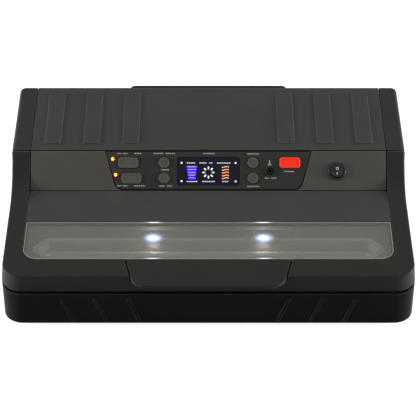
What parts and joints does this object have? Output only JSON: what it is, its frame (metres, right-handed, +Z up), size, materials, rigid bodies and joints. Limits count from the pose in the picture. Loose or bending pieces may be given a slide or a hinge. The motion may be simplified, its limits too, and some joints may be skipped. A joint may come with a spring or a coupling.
{
  "type": "vacuum sealer",
  "caption": "Wide table-top vacuum sealer with a hinged lid, smoked window, press-down front latch handle, sloping key console, rocker switch, banded rear cover and rear carry handle.",
  "frame": {"origin": "centre of the bounding box at table level, under the rubber feet", "axes": "+Z up, front of the appliance towards -Y, +X to the right seen from the front"},
  "size_m": [0.4048, 0.2896, 0.1218],
  "materials": {
    "case_black": "fine satin texture, black",
    "lid_black": "fine satin texture, near black",
    "panel_grey": "fine satin texture, dark grey",
    "smoked_window": "smoked clear polycarbonate, polished",
    "inset_gloss": "gloss black-green film",
    "key_grey": "satin grey",
    "key_red": "satin red",
    "screen_dark": "gloss, near-black violet",
    "amber": "clear amber lens",
    "led_white": "clear white lens",
    "gasket_black": "soft black foam rubber",
    "feet_rubber": "matte black",
    "strip_silicone": "matte grey silicone",
    "tape_ptfe": "coated glass cloth, tan",
    "aluminium": "extruded, plain",
    "steel": "zinc-plated sheet",
    "screw_steel": "zinc-plated screws",
    "brass": "plain",
    "board_green": "solder-mask green",
    "pump_grey": "cast and painted, grey",
    "iron_core": "lacquered core",
    "fan_black": "plain black",
    "magnet": "nickel-plated",
    "nichrome": "flat ribbon"
  },
  "bodies": {
    "base": {"base_pan": "case_black", "rubber_feet": "feet_rubber", "case_screws": "screw_steel", "upper_deck": "lid_black", "vacuum_trough": "panel_grey", "lower_gasket": "gasket_black", "seal_bar": "aluminium", "heating_wire": "nichrome", "ptfe_tape": "tape_ptfe", "latch_catches": "steel", "chamber_lights": "led_white", "lid_sensor": "fan_black", "hinge_pins": "steel", "hinge_bracket_left": "steel", "hinge_bracket_right": "steel", "console_housing": "panel_grey", "control_inset": "inset_gloss", "display_window": "screen_dark", "display_module": "screen_dark", "control_board": "board_green", "board_screws": "screw_steel", "indicator_leds": "amber", "accessory_port": "fan_black", "power_switch": "fan_black", "rear_housing": "lid_black", "rear_cover": "panel_grey", "carry_handle": "case_black", "carry_screws": "screw_steel", "vacuum_pump_left": "pump_grey", "vacuum_pump_right": "pump_grey", "pump_mounts": "feet_rubber", "vacuum_hoses": "gasket_black", "release_valve": "brass", "transformer": "iron_core", "supply_board": "board_green", "fan_frame": "fan_black", "power_inlet": "fan_black"},
    "lid": {"lid_frame": "lid_black", "lid_window": "smoked_window", "lid_panel": "panel_grey", "lid_screws": "screw_steel", "upper_gasket": "gasket_black", "pressure_strip": "strip_silicone", "lid_magnet": "magnet", "handle_pins": "steel", "hinge_neck_left": "steel", "hinge_neck_right": "steel", "neck_screws": "screw_steel"},
    "latch_handle": {"front_handle": "lid_black", "latch_hooks": "steel"},
    "bag_key_upper": {"bag_key_upper": "key_grey"},
    "bag_key_lower": {"bag_key_lower": "key_grey"},
    "mode_key_upper_left": {"mode_key_upper_left": "key_grey"},
    "mode_key_lower_left": {"mode_key_lower_left": "key_grey"},
    "mode_key_upper_right": {"mode_key_upper_right": "key_grey"},
    "mode_key_lower_right": {"mode_key_lower_right": "key_grey"},
    "start_key": {"start_key": "key_red"},
    "power_rocker": {"power_rocker": "fan_black"},
    "fan_rotor": {"fan_rotor": "fan_black"}
  },
  "joints": [
    {"name": "lid_hinge", "type": "hinge", "parent": "base", "child": "lid", "pos_m": [0, 0.02936, 0.10217], "axis": [-1, 0, 0], "range_deg": [0, 65]},
    {"name": "latch_handle_hinge", "type": "hinge", "parent": "lid", "child": "latch_handle", "pos_m": [0, -0.11265, 0.06094], "axis": [1, 0, 0], "range_deg": [0, 8]},
    {"name": "bag_key_upper_press", "type": "slide", "parent": "base", "child": "bag_key_upper", "axis": [0, 0.7581, -0.6521], "range_m": [0, 0.0008], "stiffness_N_per_m": 600, "springref_m": -0.0004},
    {"name": "bag_key_lower_press", "type": "slide", "parent": "base", "child": "bag_key_lower", "axis": [0, 0.7581, -0.6521], "range_m": [0, 0.0008], "stiffness_N_per_m": 600, "springref_m": -0.0004},
    {"name": "mode_key_upper_left_press", "type": "slide", "parent": "base", "child": "mode_key_upper_left", "axis": [0, 0.7581, -0.6521], "range_m": [0, 0.0008], "stiffness_N_per_m": 600, "springref_m": -0.0004},
    {"name": "mode_key_lower_left_press", "type": "slide", "parent": "base", "child": "mode_key_lower_left", "axis": [0, 0.7581, -0.6521], "range_m": [0, 0.0008], "stiffness_N_per_m": 600, "springref_m": -0.0004},
    {"name": "mode_key_upper_right_press", "type": "slide", "parent": "base", "child": "mode_key_upper_right", "axis": [0, 0.7581, -0.6521], "range_m": [0, 0.0008], "stiffness_N_per_m": 600, "springref_m": -0.0004},
    {"name": "mode_key_lower_right_press", "type": "slide", "parent": "base", "child": "mode_key_lower_right", "axis": [0, 0.7581, -0.6521], "range_m": [0, 0.0008], "stiffness_N_per_m": 600, "springref_m": -0.0004},
    {"name": "start_key_press", "type": "slide", "parent": "base", "child": "start_key", "axis": [0, 0.7581, -0.6521], "range_m": [0, 0.0008], "stiffness_N_per_m": 600, "springref_m": -0.0004},
    {"name": "power_rocker_hinge", "type": "hinge", "parent": "base", "child": "power_rocker", "pos_m": [0.1311, 0.00301, 0.09136], "axis": [1, 0, 0], "range_deg": [0, 16]},
    {"name": "fan_spin", "type": "hinge", "parent": "base", "child": "fan_rotor", "pos_m": [0, 0.10635, 0.042], "axis": [0, 1, 0], "continuous": true}
  ]
}
